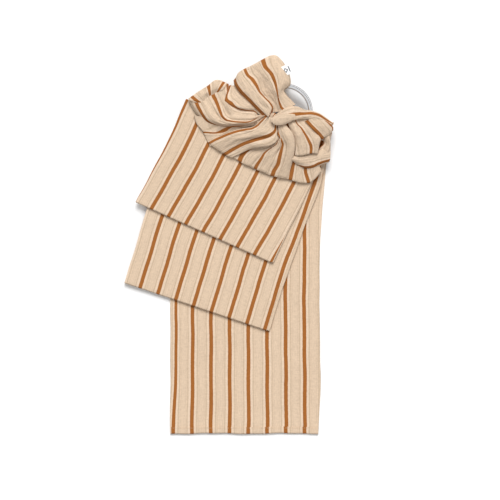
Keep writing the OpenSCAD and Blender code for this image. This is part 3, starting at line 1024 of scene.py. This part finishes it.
class SLING_OT_flaps(Operator):
    """Lays the lower flap with the run that returns over it, and the upper flap"""

    bl_idname = "sling.flaps"
    bl_label = "Flaps"

    def execute(self, context):
        material = cloth_material("striped cloth")
        short = 3.5
        up = run_rows(LOWER_SIDES, SECOND_FOLD, middle_height("lower_flap_run"), 1, 62,
                      (LOWER_SHIFT, SECOND_SHIFT), short)
        height = middle_height("lower_flap_run") + RUN_THICKNESS / 2
        turn = turn_rows(SECOND_FOLD, outward_of(SECOND_FOLD), height, 1, SECOND_SHIFT, short=short)
        back = run_rows(UPPER_SIDES, SECOND_FOLD, middle_height("upper_return_run"), -1, 40,
                        (UPPER_SHIFT, SECOND_SHIFT), short)
        lip = fold_lip(LOWER_FOLD, LOWER_WAY, LOWER_EDGE, LOWER_HEIGHT, LOWER_SHIFT, short)
        last = fold_lip(UPPER_FOLD, UPPER_WAY, UPPER_EDGE, UPPER_HEIGHT, UPPER_SHIFT, short, below=True)
        lower = run_piece("lower_flap_cloth", (lip, up, turn, backwards(back), last))
        finish(lower, material)
        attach(lower, "lower_flap")
        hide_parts("lower_flap_run", "upper_return_run")
        flap = run_rows(UPPER_SIDES, SECOND_FOLD, middle_height("upper_flap_run"), 1, 70,
                        (UPPER_SHIFT, 29.2), 1.0)
        lip = fold_lip(UPPER_FOLD, UPPER_WAY, UPPER_EDGE, UPPER_HEIGHT, UPPER_SHIFT, 1.0)
        upper = run_piece("upper_flap_cloth", (lip, flap))
        finish(upper, material)
        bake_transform(upper)
        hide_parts("upper_flap_run", "shoulder_base")
        return {"FINISHED"}


class SLING_OT_fold_turns(Operator):
    """Turns the cloth round at the two folds that open"""

    bl_idname = "sling.fold_turns"
    bl_label = "Fold turns"

    def execute(self, context):
        folds = (
            ("lower_fold_cloth", LOWER_FOLD, LOWER_WAY, LOWER_EDGE, LOWER_HEIGHT, LOWER_SHIFT,
             "base", "lower_flap", "lower_fold_turn"),
            ("upper_fold_cloth", UPPER_FOLD, UPPER_WAY, UPPER_EDGE, UPPER_HEIGHT, UPPER_SHIFT,
             "lower_flap", "upper_flap", "upper_fold_turn"),
        )
        for name, corner, way, edge, height, shift, below, above, node in folds:
            ends = (tuple(corner), fold_end(corner, way, edge))
            outward = (way[1], -way[0])
            piece = run_piece(name, [turn_rows(ends, outward, height, -1, shift, steps=12)])
            finish(piece, cloth_material("striped cloth"))
            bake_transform(piece)
            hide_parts(node)
        return {"FINISHED"}


class SLING_OT_lobes(Operator):
    """Gathers the shoulder into its lobes, fan and bow"""

    bl_idname = "sling.lobes"
    bl_label = "Gathered shoulder"

    def execute(self, context):
        material = gathered_material()
        for name, (rails, settings, nodes) in LOBES.items():
            piece, flat = lobe_piece(name, rails, **settings)
            finish(piece, material)
            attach(piece, "shoulder")
            if nodes:
                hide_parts(*nodes)
        return {"FINISHED"}


class SLING_OT_knot(Operator):
    """Bunches the cloth where it passes through the rings"""

    bl_idname = "sling.knot"
    bl_label = "Knot"

    def execute(self, context):
        low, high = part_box("ring_knot")
        x, y = (low.x + high.x) / 2 / MM, (low.y + high.y) / 2 / MM
        angles = np.linspace(0, 2 * math.pi, 121)
        rows = []
        for share in np.linspace(0, 1, 30):
            reach = 2 + 9.5 * math.sin(math.pi / 2 * min(share * 1.25, 1))
            height = 35.5 - 21 * max(0, share - 0.35) ** 1.4
            pleats = creased(angles * 5.5 + 2.6 * share) * (0.4 + 1.3 * share)
            ring = reach + pleats * 0.8
            rows.append(np.column_stack([x + 5 + ring * np.cos(angles), y - 3 + ring * np.sin(angles),
                                         height + pleats - 2.5 * (share < 0.06)]))
        grid = np.array(rows)
        across = np.broadcast_to(angles * 30, grid.shape[:2])
        along = arc_length(grid, 0)
        piece = cloth_piece("knot_of_cloth", grid, across, along)
        finish(piece, gathered_material())
        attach(piece, "shoulder")
        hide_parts("ring_knot")
        return {"FINISHED"}


class SLING_OT_hem(Operator):
    """Turns the tail's end up in a stitched hem"""

    bl_idname = "sling.hem"
    bl_label = "Tail hem"

    def execute(self, context):
        middle, radius = 1.75, 1.5
        profile = [(-y, middle + radius) for y in np.linspace(291.5, 300.6, 6)]
        profile += [(-300.6 - radius * math.sin(a), middle + radius * math.cos(a))
                    for a in np.radians([20, 45, 70, 90, 110, 135, 160])]
        profile += [(-y, middle - radius) for y in np.linspace(300.6, 292, 4)]
        across = np.linspace(0, 1, 120)
        sides = [even_path(side, 200) for side in TAIL_SIDES]
        grid = []
        for y, z in profile:
            left, right = (np.interp(max(y, TAIL_END), side[:, 1], side[:, 0]) for side in sides)
            grid.append([(left - 0.4 + share * (right - left + 0.8), y, z) for share in across])
        grid = rippled(np.array(grid))
        along = arc_length(grid, 0)
        widths = grid[..., 0] - grid[:, :1, 0] + 25.6
        piece = cloth_piece("tail_hem_cloth", grid, widths, along, 0.0006)
        finish(piece, cloth_material("hem cloth"))
        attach(piece, "base")
        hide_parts("tail_end_hem")
        return {"FINISHED"}


class SLING_OT_stitches(Operator):
    """Sews the hem and the shoulder's seam"""

    bl_idname = "sling.stitches"
    bl_label = "Stitches"

    def execute(self, context):
        thread = thread_material("sewing thread", (0.62, 0.44, 0.27))
        low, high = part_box("tail_hem_stitching")
        y = (low.y + high.y) / 2 / MM
        spots = [(x, y, 0.0) for x in np.arange(low.x / MM + 1.5, high.x / MM, 4.2)]
        hem = self.sewn("hem_stitches", spots, ["tail_hem_cloth"], thread)
        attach(hem, "base")
        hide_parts("tail_hem_stitching")
        low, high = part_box("ring_knot")
        x, y = (low.x + high.x) / 2 / MM, (low.y + high.y) / 2 / MM
        reach = 36
        angles = np.radians(np.linspace(63, 126, 10))
        spots = [(x + reach * math.cos(a), y + reach * math.sin(a), a + math.pi / 2) for a in angles]
        seam = self.sewn("seam_stitches", spots, ["top_lobe_cloth", "top_lobe_strip"], thread)
        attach(seam, "shoulder")
        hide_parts("shoulder_seam_stitching")
        return {"FINISHED"}

    @staticmethod
    def sewn(name, spots, pieces, thread):
        """A row of stitches, each at (x, y, direction) and lying on the highest of the pieces."""
        bpy.ops.object.select_all(action="DESELECT")
        bpy.ops.mesh.primitive_cylinder_add(vertices=8, radius=0.00028, depth=0.0024,
                                            rotation=(0, math.pi / 2, 0))
        model = bpy.context.active_object
        bpy.ops.object.transform_apply(location=True, rotation=True, scale=True)
        bpy.ops.object.mode_set(mode="EDIT")
        bpy.ops.mesh.select_all(action="SELECT")
        bpy.ops.mesh.bevel(offset=0.00012, segments=2)
        bpy.ops.object.mode_set(mode="OBJECT")
        surfaces = [bpy.data.objects[piece] for piece in pieces]
        copies = []
        for x, y, turn in spots:
            hits = [surface.ray_cast((x * MM, y * MM, 0.2), (0, 0, -1)) for surface in surfaces]
            heights = [place.z for hit, place, _, _ in hits if hit]
            if not heights:
                continue
            copy = bpy.data.objects.new(name, model.data.copy())
            bpy.context.scene.collection.objects.link(copy)
            copy.rotation_euler = (0, 0, turn)
            copy.location = (x * MM, y * MM, max(heights) + 0.0001)
            copies.append(copy)
        bpy.data.objects.remove(model)
        select_only(*copies)
        bpy.ops.object.join()
        bpy.ops.object.transform_apply(location=True, rotation=True, scale=True)
        row = bpy.context.active_object
        row.name = name
        bpy.ops.object.shade_smooth_by_angle(angle=math.radians(40))
        return finish(row, thread)


class SLING_OT_label(Operator):
    """Folds the woven label and sews it to the top lobe"""

    bl_idname = "sling.label"
    bl_label = "Label"

    def execute(self, context):
        low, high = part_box("maker_label")
        corner = np.array(joint("label_flip")["pos_m"])
        way = np.array(joint("label_flip")["axis"][:2])
        side = np.array([way[1], -way[0]])
        centre = np.array([(low.x + high.x) / 2, (low.y + high.y) / 2])
        if np.dot(centre - corner[:2], side) < 0:
            side = -side
        if np.dot(centre - corner[:2], way) < 0:
            way = -way
        width, length, gap = 0.016, 0.018, 0.0006
        profile = [(0, 0)] + [(length * t, 0) for t in (0.2, 0.4, 0.6, 0.8)]
        profile += [(length - gap + gap * math.sin(a), gap - gap * math.cos(a))
                    for a in np.radians([20, 55, 90, 125, 160])]
        profile += [(length * t, 2 * gap) for t in (0.8, 0.6, 0.4, 0.2, 0.0)]
        grid = []
        for out, up in profile:
            row = []
            for share in np.linspace(0, 1, 17):
                flat = corner[:2] + way * width * share + side * out
                lift = 0.0008 * math.sin(math.pi * out / length) * math.sin(math.pi * share)
                row.append((*(flat / MM), (low.z + 0.0002 + up + lift) / MM))
            grid.append(row)
        grid = np.array(grid)
        across = np.broadcast_to(np.linspace(0, width, 17) / MM, grid.shape[:2])
        along = np.broadcast_to(arc_length(grid[:, :1], 0), grid.shape[:2])
        piece = cloth_piece("folded_label", grid, across, along, 0.0003)
        finish(piece, label_material(width, length))
        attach(piece, "label")
        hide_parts("maker_label")
        spots = [(*((corner[:2] + way * width * share + side * 0.0016) / MM), math.atan2(way[1], way[0]))
                 for share in (0.14, 0.38, 0.62, 0.86)]
        thread = thread_material("label thread", (0.75, 0.75, 0.73))
        row = SLING_OT_stitches.sewn("label_stitches", spots, ["folded_label"], thread)
        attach(row, "label")
        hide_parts("label_stitching")
        return {"FINISHED"}


class SLING_OT_rings(Operator):
    """Turns the two rings from round wire"""

    bl_idname = "sling.rings"
    bl_label = "Rings"

    def execute(self, context):
        metal = metal_material()
        for node in ("front_ring", "back_ring"):
            low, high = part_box(node)
            centre = (low + high) / 2
            wire = (high.z - low.z) / 2
            reach = (high.x - low.x) / 2 - wire
            bpy.ops.object.select_all(action="DESELECT")
            bpy.ops.mesh.primitive_circle_add(vertices=48, radius=wire,
                                              location=centre + Vector((reach, 0, 0)),
                                              rotation=(math.pi / 2, 0, 0))
            ring = context.active_object
            ring.name = node + "_metal"
            bpy.ops.object.transform_apply(location=True, rotation=True, scale=True)
            bpy.ops.object.mode_set(mode="EDIT")
            bpy.ops.mesh.select_all(action="SELECT")
            bpy.ops.mesh.spin(steps=288, angle=2 * math.pi, center=centre, axis=(0, 0, 1))
            bpy.ops.mesh.select_all(action="SELECT")
            bpy.ops.mesh.remove_doubles(threshold=0.00002)
            bpy.ops.mesh.normals_make_consistent(inside=False)
            bpy.ops.object.mode_set(mode="OBJECT")
            ring.data.shade_smooth()
            finish(ring, metal)
            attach(ring, node)
            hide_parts(node)
        return {"FINISHED"}


class SLING_OT_stage(Operator):
    """Sets the floor, the light and the camera"""

    bl_idname = "sling.stage"
    bl_label = "Stage"

    def execute(self, context):
        stage = context.scene.sling_stage
        bpy.ops.object.select_all(action="DESELECT")
        bpy.ops.mesh.primitive_plane_add(size=12, location=(0, 0, -0.0002))
        floor = context.active_object
        floor.name = "floor"
        white, _, shader = new_material("white table")
        shader.inputs["Base Color"].default_value = (0.93, 0.93, 0.93, 1)
        shader.inputs["Roughness"].default_value = 0.9
        floor.data.materials.append(white)
        self.add_sky(context, stage)
        light = bpy.data.lights.new("key", "SUN")
        light.energy = stage.key_power
        light.angle = math.radians(34)
        lamp = bpy.data.objects.new("key", light)
        context.scene.collection.objects.link(lamp)
        lamp.location = (0, 2, 2)
        lamp.visible_glossy = False
        lamp.rotation_euler = (math.radians(-43), math.radians(5), 0)
        self.add_camera(context, stage)
        context.scene.view_settings.view_transform = "Standard"
        return {"FINISHED"}

    @staticmethod
    def add_sky(context, stage):
        """White light from above that fades towards the horizon."""
        world = bpy.data.worlds.new("soft room")
        world.use_nodes = True
        graph = Graph(world.node_tree)
        upward = graph.apart(graph.add("ShaderNodeTexCoord").outputs["Generated"])["Z"]
        background = world.node_tree.nodes["Background"]
        background.inputs["Color"].default_value = (1, 1, 1, 1)
        strength = graph.step(upward, 0.3, 0.6, 0.02, stage.fill * 1.32)
        graph.feed(background.inputs["Strength"], strength)
        context.scene.world = world

    @staticmethod
    def add_camera(context, stage):
        lens = bpy.data.cameras.new("camera")
        lens.sensor_width = 36
        lens.lens = 36 * stage.camera_height / stage.view_width
        lens.clip_end = 50
        camera = bpy.data.objects.new("camera", lens)
        context.scene.collection.objects.link(camera)
        low, high = CAD_BOX
        middle = (low + high) / 2
        camera.location = (middle.x + 0.0328, middle.y - 0.0088, stage.camera_height)
        context.scene.camera = camera


class SLING_PT_panel(Panel):
    """Lists the sling's sizes and pieces"""

    bl_label = "Ring sling"
    bl_idname = "SLING_PT_panel"
    bl_space_type = "VIEW_3D"
    bl_region_type = "UI"
    bl_category = "Sling"

    def draw(self, context):
        scene = context.scene
        for group in (scene.sling_cloth, scene.sling_metal, scene.sling_stage):
            for name in group.bl_rna.properties.keys()[2:]:
                self.layout.prop(group, name)
        for operator in OPERATORS:
            self.layout.operator(operator.bl_idname)


GROUPS = {"sling_cloth": SlingCloth, "sling_metal": SlingMetal, "sling_stage": SlingStage}
OPERATORS = (SLING_OT_tail, SLING_OT_hem, SLING_OT_flaps, SLING_OT_fold_turns, SLING_OT_lobes, SLING_OT_knot,
             SLING_OT_label, SLING_OT_stitches, SLING_OT_rings, SLING_OT_stage)


def register():
    for name, group in GROUPS.items():
        bpy.utils.register_class(group)
        setattr(bpy.types.Scene, name, bpy.props.PointerProperty(type=group))
    for kind in (*OPERATORS, SLING_PT_panel):
        bpy.utils.register_class(kind)


def unregister():
    for kind in (SLING_PT_panel, *reversed(OPERATORS)):
        bpy.utils.unregister_class(kind)
    for name, group in GROUPS.items():
        delattr(bpy.types.Scene, name)
        bpy.utils.unregister_class(group)


def main():
    """Builds every piece and the stage."""
    register()
    bpy.ops.sling.tail()
    bpy.ops.sling.hem()
    bpy.ops.sling.flaps()
    bpy.ops.sling.fold_turns()
    bpy.ops.sling.lobes()
    bpy.ops.sling.knot()
    bpy.ops.sling.label()
    bpy.ops.sling.stitches()
    bpy.ops.sling.rings()
    bpy.ops.sling.stage()


if __name__ == "__main__":
    main()
